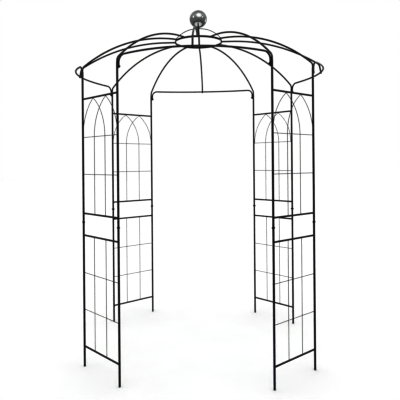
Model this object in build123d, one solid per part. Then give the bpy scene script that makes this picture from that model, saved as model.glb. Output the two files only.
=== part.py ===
from build123d import *
import os
from math import acos, asin, atan2, cos, degrees, radians, sin, sqrt

# Round garden gazebo of black steel tube: eight posts, four walk-through openings, four narrow
# trellis panels, and a dome of twelve ribs that meet in a crown ring under a ball finial.
#
# Millimetres. +Z is up, the ground is Z = 0, the origin is the centre of the plan, and the front
# is -Y. A heading is an angle in degrees about +Z, from the front towards the right (+X). Every
# sub-part is modelled at the front, heading 0, and then turned to its own heading.

# ---- driving dimensions ----

# plan
post_circle_radius = 990.5
opening_half_angle = 31.45
header_middle_radius = 1010.0

# stock
post_diameter = 15.0
tube_diameter = 12.7
tube_wall = 1.0
wire_diameter = 4.0
weld_gap = 0.03

# heights of the panels
plug_lip_height = 3.0
lower_panel_bottom_bar = 151.0
lower_wire_heights = (425.0, 697.0)
lower_panel_top_bar = 975.0
post_joint_height = 1056.0
joint_bolt_height = 1071.0
upper_panel_bottom_bar = 1137.0
upper_wire_height = 1426.0
arch_spring_height = 1699.0
upper_panel_top_bar = 1983.0
post_top = 2185.0

# joints of the posts
spigot_length = 50.0
spigot_taper = 8.0
plug_stem_length = 18.0
plug_edge_round = 1.2

# headers
header_height = 2245.5
header_lean = 4.7
header_corner_reach = 50.0
header_leg_bottom = 2146.0
header_screw_height = 2157.0
leg_gap = 0.05

# dome ribs
crown_height = 2517.0
rib_tail_bottom = 2105.0
post_rib_level_end = 220.0
post_rib_dome_radius = 1137.0
post_rib_bend_radius = 42.0
mid_rib_level_end = 284.0
mid_rib_dome_radius = 1330.0
mid_rib_bend_radius = 42.5
mid_rib_foot_lean = 11.0

# crown ring and the two crossed hoops
ring_mean_radius = 195.5
ring_depth = 16.0
band_thickness = 3.0
hoop_width = 14.0
hoop_top_height = 2632.0
hoop_seat_half_length = 12.0
hoop_arc_radius = 228.0
hoop_bend_radius = 15.0
hoop_tab_bottom = 2509.5

# finial
ball_radius = 72.0
ball_centre_height = 2710.0
ball_wall = 1.0
boss_radius = 11.0
boss_depth_in_ball = 14.0
finial_thread = 8.0
finial_head_flat = 13.0
finial_head_height = 5.3

# fasteners
thread_diameter = 6.0
thread_clearance = 0.1
hole_clearance = 0.3
head_flat = 10.0
head_height = 4.0
flange_radius = 6.5
flange_thickness = 1.2
nut_height = 5.2
thread_past_nut = 2.5
corner_bevel = 0.6
insert_length = 22.0
insert_clearance = 0.1
rib_bolt_grip_in_insert = 18.0

# ---- dimensions that follow from them ----

post_radius = post_diameter / 2
tube_radius = tube_diameter / 2
wire_radius = wire_diameter / 2
spigot_radius = tube_radius
panel_half_angle = 45.0 - opening_half_angle
panel_half_width = post_circle_radius * sin(radians(panel_half_angle))
panel_distance = post_circle_radius * cos(radians(panel_half_angle))
leg_offset = post_radius + tube_radius + leg_gap
ring_outer_radius = ring_mean_radius + band_thickness / 2
ring_inner_radius = ring_mean_radius - band_thickness / 2
hoop_tab_radius = sqrt(ring_inner_radius**2 - (hoop_width / 2) ** 2) - band_thickness / 2
ring_bolt_seat = sqrt(ring_inner_radius**2 - flange_radius**2)
hoop_bolt_seat = hoop_tab_radius - band_thickness / 2
hole_radius = thread_diameter / 2 + hole_clearance / 2

# the middle of the front header, and the way up from it along the middle rib's foot
header_middle = Vector(0, -header_middle_radius, header_height)
foot_axis = Vector(0, sin(radians(mid_rib_foot_lean)), cos(radians(mid_rib_foot_lean)))

# the panels: heading, the posts on the two sides, lower heading first, and the way round that the
# upper trellis is fitted; a post is named after its opening and the side of that opening
panels = {
    "front_right": (45, ("front_right", "right_front"), 1),
    "back_right": (135, ("right_back", "back_right"), 1),
    "back_left": (225, ("back_left", "left_back"), 1),
    "front_left": (315, ("left_front", "front_left"), -1),
}
openings = {"front": 0, "right": 90, "back": 180, "left": 270}


# ---- helpers ----

def turned(shape, heading):
    """A shape made at the front, turned to a heading."""
    return Rot(0, 0, heading) * shape


def rod(start, end, radius):
    """A solid round bar from one point to another."""
    axis = Vector(*end) - Vector(*start)
    return Solid.make_cylinder(radius, axis.length, Plane(origin=start, z_dir=axis))


def tube(start, end, radius):
    """A straight round tube from one point to another."""
    return rod(start, end, radius) - rod(start, end, radius - tube_wall)


def swept(path, section):
    """A flat section carried along a path from the path's start."""
    start = Plane(origin=path @ 0, x_dir=(1, 0, 0), z_dir=path % 0)
    return sweep(start * section, path=path)


def front(radius, height):
    """A point straight ahead of the centre, at a radius and a height."""
    return Vector(0, -radius, height)


def drop_path(start, level_end, dome_radius, bend_radius, end, top, bottom, lean=0.0):
    """A path out from the centre: level, then a wide arc, then a tighter bend into a drop.

    The drop ends at the end radius and the bottom height; it leans outwards by so many degrees.
    """
    foot_dip = radians(90 - lean)
    ahead = (end - level_end) * sin(foot_dip) + (bottom - top + dome_radius) * cos(foot_dip)
    dip = foot_dip - acos((ahead - bend_radius) / (dome_radius - bend_radius))
    shoulder_radius = level_end + dome_radius * sin(dip)
    shoulder_height = top - dome_radius * (1 - cos(dip))
    knee_radius = shoulder_radius + bend_radius * (sin(foot_dip) - sin(dip))
    knee_height = shoulder_height - bend_radius * (cos(dip) - cos(foot_dip))
    level = Line(front(start, top), front(level_end, top))
    dome = TangentArc(front(level_end, top), front(shoulder_radius, shoulder_height), tangent=level % 1)
    bend = TangentArc(dome @ 1, front(knee_radius, knee_height), tangent=dome % 1)
    drop = Line(bend @ 1, front(end, bottom))
    return Wire([level, dome, bend, drop])


def group(solids):
    """Several separate solids in one node."""
    return Compound(children=[solid for part in solids for solid in part.solids()])


def save(node, shape):
    """Write one node's file."""
    export_step(shape, f"parts/{node}.step")


# ---- fasteners, made along +Z with the clamped face at Z = 0 ----

def hexagon(across_flats, height):
    """A hexagonal prism with bevelled corners at its top."""
    prism = extrude(RegularPolygon(across_flats / 2, 6, major_radius=False), height)
    corner_radius = across_flats / sqrt(3)
    bevel = Cone(
        corner_radius + height - corner_bevel,
        corner_radius - corner_bevel,
        height,
        align=(Align.CENTER, Align.CENTER, Align.MIN),
    )
    return prism & bevel


def hex_bolt(shank_length, diameter=thread_diameter, flat=head_flat, height=head_height):
    """A flanged hex bolt: head below Z = 0, shank above it."""
    head = Rot(180, 0, 0) * (Pos(0, 0, flange_thickness) * hexagon(flat, height))
    flange = rod((0, 0, -flange_thickness), (0, 0, 0), flange_radius * flat / head_flat)
    shank_radius = diameter / 2 - thread_clearance
    shank = rod((0, 0, 0), (0, 0, shank_length), shank_radius)
    tip = chamfer(shank.faces().sort_by(Axis.Z)[-1].edges(), corner_bevel)
    return head + flange + tip


def hex_nut():
    """A flanged hex nut, its flange on Z = 0."""
    body = Pos(0, 0, flange_thickness) * hexagon(head_flat, nut_height - flange_thickness)
    flange = rod((0, 0, 0), (0, 0, flange_thickness), flange_radius)
    return body + flange - rod((0, 0, 0), (0, 0, nut_height), thread_diameter / 2)


def along(shape, point, direction):
    """A shape made along +Z, moved to a point and aimed in a direction."""
    return Plane(origin=point, z_dir=direction) * shape


# ---- bolt lines: where each bolt or screw starts, its direction and how deep its hole is ----

def header_screw_line(side):
    """At a post turned to the front: through the header's leg to the axis of the post."""
    start = Vector(side * (leg_offset + tube_radius), -post_circle_radius, header_screw_height)
    return start, Vector(-side, 0, 0), leg_offset + tube_radius


def joint_bolt_line(side):
    """At a panel turned to the front: through the post joint, from the panel's inner side."""
    start = Vector(side * (panel_half_width - post_radius), -panel_distance, joint_bolt_height)
    return start, Vector(side, 0, 0), post_diameter


def bolt_hole(line):
    """The clearance hole of a bolt line."""
    start, direction, depth = line
    return rod(start, start + direction * depth, hole_radius)


def screw_in(line):
    """A screw as long as its hole is deep."""
    start, direction, depth = line
    return along(hex_bolt(depth), start, direction)


def bolt_through(line):
    """A through bolt, with thread left for its nut."""
    start, direction, depth = line
    return along(hex_bolt(depth + nut_height + thread_past_nut), start, direction)


def nut_on(line):
    """The nut at the far end of a bolt line."""
    start, direction, depth = line
    return along(hex_nut(), start + direction * depth, direction)


# ---- posts ----

def upper_post():
    """The plain tube of an upper post."""
    foot = front(post_circle_radius, post_joint_height)
    return tube(foot, front(post_circle_radius, post_top), post_radius)


def lower_post():
    """A lower post: a tube necked down at its top into a spigot for the upper post."""
    bore = post_radius - tube_wall
    spigot_bore = spigot_radius - tube_wall
    spigot_top = post_joint_height + spigot_length
    neck_top = post_joint_height - tube_wall
    outline = Polyline(
        (bore, plug_lip_height),
        (post_radius, plug_lip_height),
        (post_radius, post_joint_height),
        (spigot_radius, post_joint_height),
        (spigot_radius, spigot_top),
        (spigot_bore, spigot_top),
        (spigot_bore, neck_top),
        (bore, neck_top - spigot_taper),
        close=True,
    )
    post = revolve(Plane.XZ * make_face(outline), Axis.Z)
    return Pos(0, -post_circle_radius, 0) * post


def foot_plug():
    """A rounded plastic plug in the foot of a post."""
    bore = post_radius - tube_wall
    lip = rod((0, 0, 0), (0, 0, plug_lip_height), post_radius)
    lip = fillet(lip.faces().sort_by(Axis.Z)[0].edges(), plug_edge_round)
    stem_top = plug_lip_height + plug_stem_length
    stem = rod((0, 0, plug_lip_height), (0, 0, stem_top), bore - thread_clearance)
    return Pos(0, -post_circle_radius, 0) * (lip + stem)


# ---- trellis panels ----

def panel_point(across, height, proud=0.0):
    """A point in the plane of the front-turned panel, or proud of it towards the outside."""
    return Vector(across, -panel_distance - proud, height)


def bar_solid(height, radius=tube_radius):
    """The full cylinder of a cross bar, from post centre to post centre."""
    return rod(panel_point(-panel_half_width, height), panel_point(panel_half_width, height), radius)


def post_solids():
    """The full cylinders of a panel's two posts."""
    edges = (-panel_half_width, panel_half_width)
    return [rod(panel_point(edge, 0), panel_point(edge, post_top), post_radius) for edge in edges]


def cross_bars(heights):
    """The tube bars between two posts, their ends coped to the posts."""
    hollow = [bar_solid(height) - bar_solid(height, tube_radius - tube_wall) for height in heights]
    return [bar - post_solids() for bar in hollow]


def level_wires(heights, proud):
    """Level wires from post to post."""
    full = [
        rod(
            panel_point(-panel_half_width, height, proud),
            panel_point(panel_half_width, height, proud),
            wire_radius,
        )
        for height in heights
    ]
    return [wire - post_solids() for wire in full]


def lower_trellis():
    """Two upright and two level wires, welded where they cross."""
    proud = wire_radius + weld_gap
    bars = [bar_solid(lower_panel_bottom_bar), bar_solid(lower_panel_top_bar)]
    uprights = [
        rod(
            panel_point(side * panel_half_width / 3, lower_panel_bottom_bar, proud),
            panel_point(side * panel_half_width / 3, lower_panel_top_bar, proud),
            wire_radius,
        )
        for side in (-1, 1)
    ]
    return [upright - bars for upright in uprights] + level_wires(lower_wire_heights, -proud)


def arch_leg(foot, apex, apex_height, proud, straight_to=None):
    """One wire of a pointed arch: an arc from the spring line to the apex, mitred there."""
    rise = apex_height - arch_spring_height
    half_span = abs(apex - foot)
    inward = 1 if apex > foot else -1
    radius = (half_span**2 + rise**2) / (2 * half_span)
    past_apex = degrees(wire_diameter / radius)
    sweep_angle = degrees(asin(rise / radius)) + past_apex
    centre = foot + inward * radius
    first_angle = 180 if inward == 1 else 0
    flat_arc = CenterArc((centre, arch_spring_height), radius, first_angle, -inward * sweep_angle)
    arc = Pos(0, -panel_distance - proud, 0) * (Plane.XZ * flat_arc)
    path = Wire([arc])
    if straight_to is not None:
        path = Wire([Line(panel_point(foot, straight_to, proud), arc @ 0), arc])
    wire = swept(path, Circle(wire_radius))
    keep = Pos(apex - inward * half_span, -panel_distance, arch_spring_height) * Box(
        2 * half_span, 2 * post_diameter, 2 * upper_panel_top_bar
    )
    return wire & keep


def upper_trellis(facing):
    """Two interlaced pointed arches, whose inner legs run down as uprights, and two level wires.

    A facing of 1 puts the right-hand arch outside the left-hand one, and -1 inside it.
    """
    proud = wire_diameter + weld_gap
    apex_height = upper_panel_top_bar - sqrt(tube_radius**2 - proud**2)
    beside_post = panel_half_width - sqrt((post_radius + wire_radius + weld_gap) ** 2 - proud**2)
    third = panel_half_width / 3
    bars = [bar_solid(upper_panel_bottom_bar), bar_solid(upper_panel_top_bar)]
    legs = []
    for side in (-1, 1):
        layer = facing * side * proud
        outer = arch_leg(side * beside_post, side * third, apex_height, layer)
        inner = arch_leg(-side * third, side * third, apex_height, layer, upper_panel_bottom_bar)
        legs += [outer - bars, inner - bars]
    return legs + level_wires((upper_wire_height, arch_spring_height), 0)


# ---- headers ----

def header_path():
    """Up one leg, round its corner, along the bowed top, and down the other leg.

    The bowed top lies in a plane that leans up towards the top's middle; each corner lies in an
    upright plane, so its true radius is a little more than its reach along that leaning plane.
    """
    half_angle = radians(opening_half_angle)
    leg_across = post_circle_radius * sin(half_angle) - leg_offset * cos(half_angle)
    leg_ahead = post_circle_radius * cos(half_angle) + leg_offset * sin(half_angle)
    lean = radians(header_lean)
    bow = (header_middle_radius - leg_ahead) / cos(lean)
    reach = header_corner_reach
    top_radius = (leg_across**2 + bow**2 - reach**2) / (2 * bow)
    turn = atan2(leg_across, top_radius - bow) - atan2(reach, top_radius)
    end_bow = top_radius * (1 - cos(turn))
    end_across = top_radius * sin(turn)
    end_ahead = header_middle_radius - end_bow * cos(lean)
    end_height = header_height - end_bow * sin(lean)
    end_climb = sin(turn) * sin(lean)
    level_share = sqrt(1 - end_climb**2)
    corner_radius = reach * level_share / (1 - end_climb)
    leg_top = end_height - corner_radius * level_share

    right_leg = Line((leg_across, -leg_ahead, header_leg_bottom), (leg_across, -leg_ahead, leg_top))
    right_corner = TangentArc(right_leg @ 1, (end_across, -end_ahead, end_height), tangent=(0, 0, 1))
    top = TangentArc(right_corner @ 1, (-end_across, -end_ahead, end_height), tangent=right_corner % 1)
    left_corner = TangentArc(top @ 1, (-leg_across, -leg_ahead, leg_top), tangent=top % 1)
    left_leg = Line(left_corner @ 1, (-leg_across, -leg_ahead, header_leg_bottom))
    return Wire([right_leg, right_corner, top, left_corner, left_leg])


def header_solid():
    """The header as a solid bar, to cope the middle rib's foot."""
    return swept(header_path(), Circle(tube_radius))


def header():
    """The bent tube over an opening, with its screw and bolt holes."""
    bent = swept(header_path(), Circle(tube_radius) - Circle(tube_radius - tube_wall))
    right_hole = turned(bolt_hole(header_screw_line(-1)), opening_half_angle)
    left_hole = turned(bolt_hole(header_screw_line(1)), -opening_half_angle)
    half_hole = foot_axis * tube_diameter
    middle_hole = rod(header_middle - half_hole, header_middle + half_hole, hole_radius)
    return bent - right_hole - left_hole - middle_hole


# ---- dome ribs ----

def post_rib(side):
    """A rib from the crown ring to a post, with its tail inside the post."""
    path = drop_path(
        ring_outer_radius,
        post_rib_level_end,
        post_rib_dome_radius,
        post_rib_bend_radius,
        post_circle_radius,
        crown_height,
        rib_tail_bottom,
    )
    rib = swept(path, Circle(tube_radius) - Circle(tube_radius - tube_wall))
    return rib - bolt_hole(header_screw_line(side))


def mid_rib():
    """A rib from the crown ring to the middle of a header, its foot coped to the header."""
    path = drop_path(
        ring_outer_radius,
        mid_rib_level_end,
        mid_rib_dome_radius,
        mid_rib_bend_radius,
        header_middle_radius,
        crown_height,
        header_height,
        mid_rib_foot_lean,
    )
    rib = swept(path, Circle(tube_radius) - Circle(tube_radius - tube_wall))
    return rib - header_solid()


def rib_insert():
    """A threaded plug for a rib's end, made along +Z from Z = 0."""
    body = rod((0, 0, 0), (0, 0, insert_length), tube_radius - tube_wall - insert_clearance)
    return body - rod((0, 0, 0), (0, 0, insert_length), thread_diameter / 2)


def crown_insert():
    """The threaded plug in the crown end of a rib."""
    return along(rib_insert(), front(ring_outer_radius, crown_height), (0, -1, 0))


def foot_insert():
    """The threaded plug in the foot of a middle rib."""
    return along(rib_insert(), header_middle + foot_axis * tube_radius, foot_axis)


# ---- crown ----

def crown_ring():
    """A flat band bent into a ring, with a bolt hole for every rib."""
    base = crown_height - ring_depth / 2
    outer = rod((0, 0, base), (0, 0, base + ring_depth), ring_outer_radius)
    inner = rod((0, 0, base), (0, 0, base + ring_depth), ring_inner_radius)
    hole = rod(front(0, crown_height), front(2 * ring_outer_radius, crown_height), hole_radius)
    return outer - inner - [turned(hole, heading) for heading in rib_headings()]


def rib_headings():
    """The headings of all twelve ribs."""
    corners = [heading + side * panel_half_angle for heading, *_ in panels.values() for side in (-1, 1)]
    return corners + list(openings.values())


def hoop(top):
    """A flat strip arched over the ring from front to back, its end tabs inside the ring."""
    path = drop_path(
        0,
        hoop_seat_half_length,
        hoop_arc_radius,
        hoop_bend_radius,
        hoop_tab_radius,
        top,
        hoop_tab_bottom,
    )
    half = swept(path, Rectangle(hoop_width, band_thickness))
    strip = half + mirror(half, Plane.XZ)
    back = front(-ring_outer_radius, crown_height)
    tab_hole = rod(back, front(ring_outer_radius, crown_height), hole_radius)
    seat_hole_radius = finial_thread / 2 + hole_clearance
    seat_hole = rod((0, 0, top - band_thickness), (0, 0, top + band_thickness), seat_hole_radius)
    return strip - tab_hole - seat_hole


def crown_bolt(start_radius):
    """A bolt from inside the ring into a rib's insert."""
    grip = ring_outer_radius - start_radius + rib_bolt_grip_in_insert
    return along(hex_bolt(grip), front(start_radius, crown_height), (0, -1, 0))


def mid_rib_bolt():
    """A bolt up through a header into the middle rib's insert."""
    under_header = header_middle - foot_axis * tube_radius
    return along(hex_bolt(tube_diameter + rib_bolt_grip_in_insert), under_header, foot_axis)


# ---- finial ----

def finial_ball():
    """A hollow ball on a threaded boss that stands on the hoops."""
    seat = hoop_top_height + band_thickness / 2
    shell = Sphere(ball_radius) - Sphere(ball_radius - ball_wall)
    boss_top = ball_centre_height - ball_radius + boss_depth_in_ball
    boss = rod((0, 0, seat), (0, 0, boss_top), boss_radius)
    bore = rod((0, 0, seat), (0, 0, boss_top), finial_thread / 2)
    return Pos(0, 0, ball_centre_height) * shell + boss - bore


def finial_bolt():
    """The bolt that holds the ball, up through both hoops."""
    under_hoops = hoop_top_height - 1.5 * band_thickness
    boss_top = ball_centre_height - ball_radius + boss_depth_in_ball
    shank_length = boss_top - under_hoops - thread_past_nut
    bolt = hex_bolt(shank_length, finial_thread, finial_head_flat, finial_head_height)
    return Pos(0, 0, under_hoops) * bolt


# ---- build every node ----

os.makedirs("parts", exist_ok=True)

header_screws = []
joint_bolts = []
nuts = []
foot_plugs = []
crown_bolts = []
inserts = []

for panel, (heading, post_names, facing) in panels.items():
    upper_bars = cross_bars((upper_panel_bottom_bar, upper_panel_top_bar))
    lower_bars = cross_bars((lower_panel_bottom_bar, lower_panel_top_bar))
    save(f"upper_bars_{panel}", turned(group(upper_bars), heading))
    save(f"lower_bars_{panel}", turned(group(lower_bars), heading))
    save(f"upper_trellis_{panel}", turned(group(upper_trellis(facing)), heading))
    save(f"lower_trellis_{panel}", turned(group(lower_trellis()), heading))
    for side, post in zip((-1, 1), post_names):
        post_heading = heading + side * panel_half_angle
        screw_line = header_screw_line(side)
        joint_line = joint_bolt_line(side)
        joint_hole = turned(bolt_hole(joint_line), heading)
        upper = turned(upper_post() - bolt_hole(screw_line), post_heading)
        lower = turned(lower_post(), post_heading)
        save(f"upper_post_{post}", upper - joint_hole)
        save(f"lower_post_{post}", lower - joint_hole)
        save(f"rib_{post}", turned(post_rib(side), post_heading))
        header_screws.append(turned(screw_in(screw_line), post_heading))
        joint_bolts.append(turned(bolt_through(joint_line), heading))
        nuts.append(turned(nut_on(joint_line), heading))
        foot_plugs.append(turned(foot_plug(), post_heading))
        crown_bolts.append(turned(crown_bolt(ring_bolt_seat), post_heading))
        inserts.append(turned(crown_insert(), post_heading))

mid_rib_bolts = []
for opening, heading in openings.items():
    save(f"header_{opening}", turned(header(), heading))
    save(f"rib_{opening}", turned(mid_rib(), heading))
    mid_rib_bolts.append(turned(mid_rib_bolt(), heading))
    crown_bolts.append(turned(crown_bolt(hoop_bolt_seat), heading))
    inserts.append(turned(crown_insert(), heading))
    inserts.append(turned(foot_insert(), heading))

save("crown_ring", crown_ring())
save("hoop_front_back", hoop(hoop_top_height))
save("hoop_left_right", turned(hoop(hoop_top_height - band_thickness), 90))
save("finial_ball", finial_ball())
save("finial_bolt", finial_bolt())
save("header_screws", group(header_screws))
save("post_joint_bolts", group(joint_bolts))
save("post_joint_nuts", group(nuts))
save("crown_bolts", group(crown_bolts))
save("mid_rib_bolts", group(mid_rib_bolts))
save("rib_inserts", group(inserts))
save("foot_plugs", group(foot_plugs))
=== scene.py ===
import bmesh
import bpy
from math import acos, asin, atan2, ceil, cos, pi, radians, sin, sqrt
from random import Random
from mathutils import Matrix, Quaternion, Vector, noise


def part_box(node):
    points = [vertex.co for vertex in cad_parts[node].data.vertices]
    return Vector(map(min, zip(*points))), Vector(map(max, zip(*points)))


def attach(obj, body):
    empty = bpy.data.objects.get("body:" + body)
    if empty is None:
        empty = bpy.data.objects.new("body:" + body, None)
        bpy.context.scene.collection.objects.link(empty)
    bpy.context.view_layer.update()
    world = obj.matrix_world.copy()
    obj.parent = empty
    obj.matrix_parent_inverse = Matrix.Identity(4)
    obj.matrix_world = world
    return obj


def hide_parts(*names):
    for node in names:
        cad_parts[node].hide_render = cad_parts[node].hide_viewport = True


# Round garden gazebo of black tube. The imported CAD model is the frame; every piece made here is a
# finer mesh of one CAD node, or the welds that belong to it. Metres, +Z up, front is -Y.

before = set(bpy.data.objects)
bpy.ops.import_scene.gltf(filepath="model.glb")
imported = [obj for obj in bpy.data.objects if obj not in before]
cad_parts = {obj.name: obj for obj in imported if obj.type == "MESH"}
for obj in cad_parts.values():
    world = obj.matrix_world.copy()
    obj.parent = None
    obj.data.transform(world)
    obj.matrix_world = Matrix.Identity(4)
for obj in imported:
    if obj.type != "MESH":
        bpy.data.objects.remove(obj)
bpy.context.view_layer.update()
scene = bpy.context.scene

# ---- dimensions, in metres ----

# stock and the finer details of it
TUBE_WALL = 0.001
WIRE_RADIUS = 0.002
WELD_GAP = 0.00003
EDGE_ROUND = 0.0004
FINE_EDGE = 0.0001
CORNER_STEPS = 3
ROUND_SIDES = 28
POST_SIDES = 36
WIRE_SIDES = 14
BEND_STEP = radians(3.0)
DOME_STEP = radians(1.2)
ARCH_STEP = radians(2.0)

# a bend's flattening as a share of the tube's radius: by its curvature in 1/m, and at most
BEND_FLATTENING = 0.003
MOST_FLATTENING = 0.045

# faces that meet at more than this many degrees keep a sharp edge
SHARP_EDGE = 38
BALL_SHARP_EDGE = 50

# trellis panels
LOWER_WIRE_HEIGHTS = (0.425, 0.697)
UPPER_WIRE_HEIGHT = 1.426
ARCH_SPRING_HEIGHT = 1.699

# headers
HEADER_LEAN = radians(4.7)
HEADER_REACH = 0.050
LEG_GAP = 0.00005
HEADER_SCREW_HEIGHT = 2.157

# dome
POST_RIB = dict(level_end=0.220, dome=1.137, bend=0.042)
MID_RIB = dict(level_end=0.284, dome=1.330, bend=0.0425, lean=radians(11))
RIB_TAIL_BOTTOM = 2.105

# crown
BAND_THICKNESS = 0.003
BAND_ROUND = 0.0007
HOOP_WIDTH = 0.014
HOOP = dict(level_end=0.012, dome=0.228, bend=0.015)
HOOP_TAB_BOTTOM = 2.5095
RING_SIDES = 180

# posts and their joint
SPIGOT_LENGTH = 0.050
SPIGOT_TAPER = 0.008
JOINT_BOLT_HEIGHT = 1.071
PLUG_LIP = 0.003
PLUG_STEM_TOP = 0.021
PLUG_PLAY = 0.0001
PLUG_ROUND = 0.0012
PLUG_ROUND_STEPS = 6
PLUG_RIBS = 4
PLUG_FIRST_RIB = 0.003
PLUG_RIB_SPACING = 0.0045
PLUG_RIB_DEPTH = 0.0005
PLUG_RIB_SLOPE = 0.0012
PLUG_RIB_BACK = 0.0004
PLUG_TIP = dict(height=0.0008, inset=0.0012)
GATE_MARK = dict(floor=0.0012, mouth=0.0016, depth=0.0003)

# fasteners: thread radius, the head's flats and its height above its flange, pitch
M6 = dict(radius=0.0029, flat=0.010, head=0.004, pitch=0.001)
M8 = dict(radius=0.0039, flat=0.013, head=0.0053, pitch=0.00125)
FLANGE_RADIUS = 0.00648
FLANGE = 0.0012
FLANGE_SIDE = 0.55
FLANGE_SHOULDER = 0.85
FLANGE_EDGE = 0.0002
HEX_SIDES = 48
HEX_FILLET = 0.0004
HEX_BEVEL = 0.0006
NUT_HEIGHT = 0.0052
NUT_CHAMFER = dict(width=0.0003, depth=0.0005)
THREAD_PAST_NUT = 0.0025
RIB_BOLT_GRIP = 0.018
HEADER_SCREW_THREAD = 0.006
RIB_BOLT_THREAD = 0.008
FINIAL_BOLT_THREAD = 0.012

# a hex head's bevelled top, in shares of the bevel: in from the corners, and below the top
HEX_CROWN = ((0.45, 1.0), (1.3, 0.35), (2.1, 0.0))
# the dimple in a head's top: its mouth, wall and floor in shares of the flats, and its depth
HEAD_DIMPLE = dict(mouth=0.36, wall=0.33, floor=0.1, depth=0.0004)

# threads: facets round, stations in a pitch, depth and run-out in pitches, and the tapered tip
THREAD_SIDES = 24
THREAD_STATIONS = 7
THREAD_DEPTH = 0.5
THREAD_RUN_OUT = 0.8
SHANK_TIP = 0.0006
TIP_TAPER = 0.14

# finial
BOSS_RADIUS = 0.011
BOSS_DEPTH_IN_BALL = 0.014
BOSS_BEVEL = 0.0006
BOSS_BORE_END = 0.0005
BALL_NECK = 0.0016
NECK_BEND = dict(out=0.3, down=0.4)
BALL_STEPS = 72
BALL_SIDES = 128
BALL_POLE = 0.01

# weld beads: sizes, counts, lumps to the metre, and shares of the bead's radius
BEAD_RADIUS = 0.0014
BEAD_OFF_POST = 0.0004
BEAD_OFF_BAR = 0.0001
BEAD_STATIONS = 66
BEAD_SIDES = 8
BEAD_RIPPLES = 22
BEAD_LUMP_SCALE = 180
BEAD_BASE = 0.84
BEAD_RIPPLE = 0.16
BEAD_LUMP = 0.18
BEAD_HEIGHT = 0.85
BEAD_WIDTH = 1.15
# a bead's tilt off the post, and the step of its seed from one end of a bar to the other
BEAD_TILT = 0.6
BEAD_SEED_STEP = 0.37

# weld nuggets: their shape, then their sizes, and how far they sit off what they weld
SEED_RANGE = 9
NUGGET_RINGS = 8
NUGGET_SIDES = 12
NUGGET_STRETCH = 1.35
NUGGET_LUMP = 0.16
NUGGET_LUMP_SCALE = 1.7
NUGGET_DRIFT = (3.1, 1.7)
BAR_WELD = 0.0024
END_WELD = 0.0025
CROSSING_WELD = 0.0021
APEX_WELD = 0.0030
BAR_WELD_OUT = 0.0006
END_WELD_IN = 0.0004
ARCH_WELD_TUCK = 0.0005
APEX_WELD_LIFT = 0.0006
SPRING_WELD_SHIFT = 0.0015
APEX_INTO_BAR = 0.35

# the crown ring's weld seam: sizes, counts, and shares of the seam's radius
SEAM_RADIUS = 0.0011
SEAM_INSET = 0.0004
SEAM_END_GAP = 0.0012
SEAM_STEPS = 12
SEAM_SIDES = 10
SEAM_BASE = 0.85
SEAM_RIPPLE = 0.25
SEAM_END = 0.45
SEAM_HEIGHT = 0.8
SEAM_WIDTH = 1.5
SEAM_RIPPLE_TURN = 1.1

NEARLY_UPRIGHT = 0.9
NO_LENGTH = 1e-6
UP = Vector((0, 0, 1))
CENTRE = Vector((0, 0, 0))
random = Random(41)


# ---- places, read from the frame ----

def centre_of(node):
    low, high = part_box(node)
    return (low + high) / 2


def size_of(node):
    low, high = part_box(node)
    return high - low


PANELS = {
    "front_right": ("front_right", "right_front", 1),
    "back_right": ("right_back", "back_right", 1),
    "back_left": ("back_left", "left_back", 1),
    "front_left": ("left_front", "front_left", -1),
}
OPENINGS = {
    "front": ("front_left", "front_right"),
    "right": ("right_front", "right_back"),
    "back": ("back_right", "back_left"),
    "left": ("left_back", "left_front"),
}
POSTS = [post for first, second, _ in PANELS.values() for post in (first, second)]

POST_RADIUS = size_of("upper_post_front_right").x / 2
TUBE_RADIUS = size_of("rib_front").x / 2
POST_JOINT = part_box("upper_post_front_right")[0].z
POST_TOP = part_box("upper_post_front_right")[1].z
RING_OUTER = size_of("crown_ring").x / 2
RING_INNER = RING_OUTER - BAND_THICKNESS
CROWN = centre_of("crown_ring").z
RING_DEPTH = size_of("crown_ring").z
HOOP_TAB_RADIUS = sqrt(RING_INNER**2 - (HOOP_WIDTH / 2) ** 2) - BAND_THICKNESS / 2
BALL_RADIUS = size_of("finial_ball").x / 2
BALL_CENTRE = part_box("finial_ball")[1].z - BALL_RADIUS
BALL_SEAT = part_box("finial_ball")[0].z
HEADER_MIDDLE = -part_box("header_front")[0].y - TUBE_RADIUS
HEADER_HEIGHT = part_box("header_front")[1].z - TUBE_RADIUS
HEADER_LEG_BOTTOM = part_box("header_front")[0].z
LEG_OFFSET = POST_RADIUS + TUBE_RADIUS + LEG_GAP


def post_axis(post):
    """The plan position of a post."""
    middle = centre_of(f"upper_post_{post}")
    return Vector((middle.x, middle.y, 0))


def outward_of(point):
    return Vector((point.x, point.y, 0)).normalized()


class Panel:
    """The upright plane between two posts: across from the first to the second, proud outwards."""

    def __init__(self, first, second):
        a = post_axis(first)
        b = post_axis(second)
        self.middle = (a + b) / 2
        self.across = (b - a).normalized()
        self.outward = outward_of(self.middle)
        self.half_width = (b - a).length / 2

    def point(self, across, height, proud=0.0):
        return self.middle + self.across * across + self.outward * proud + UP * height


# ---- directions and paths ----

def square_axes(axis):
    """Two axes square to a given one and to each other."""
    helper = UP if abs(axis.z) < NEARLY_UPRIGHT else Vector((1, 0, 0))
    side = axis.cross(helper).normalized()
    return side, axis.cross(side)


def spokes(side, other, count):
    """Angles evenly round a circle, each with its direction between two axes."""
    for i in range(count):
        angle = 2 * pi * i / count
        yield angle, side * cos(angle) + other * sin(angle)


def arc(centre, start, axis, angle, step):
    """Points along an arc from a start point, turned about an axis through its centre."""
    count = max(2, ceil(abs(angle) / step))
    spoke = start - centre
    return [centre + Quaternion(axis, angle * i / count) @ spoke for i in range(count + 1)]


def joined(*runs):
    """Runs of points one after another, without repeating the shared ends."""
    points = []
    for run in runs:
        points += [p for p in run if not points or (p - points[-1]).length > NO_LENGTH]
    return points


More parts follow.
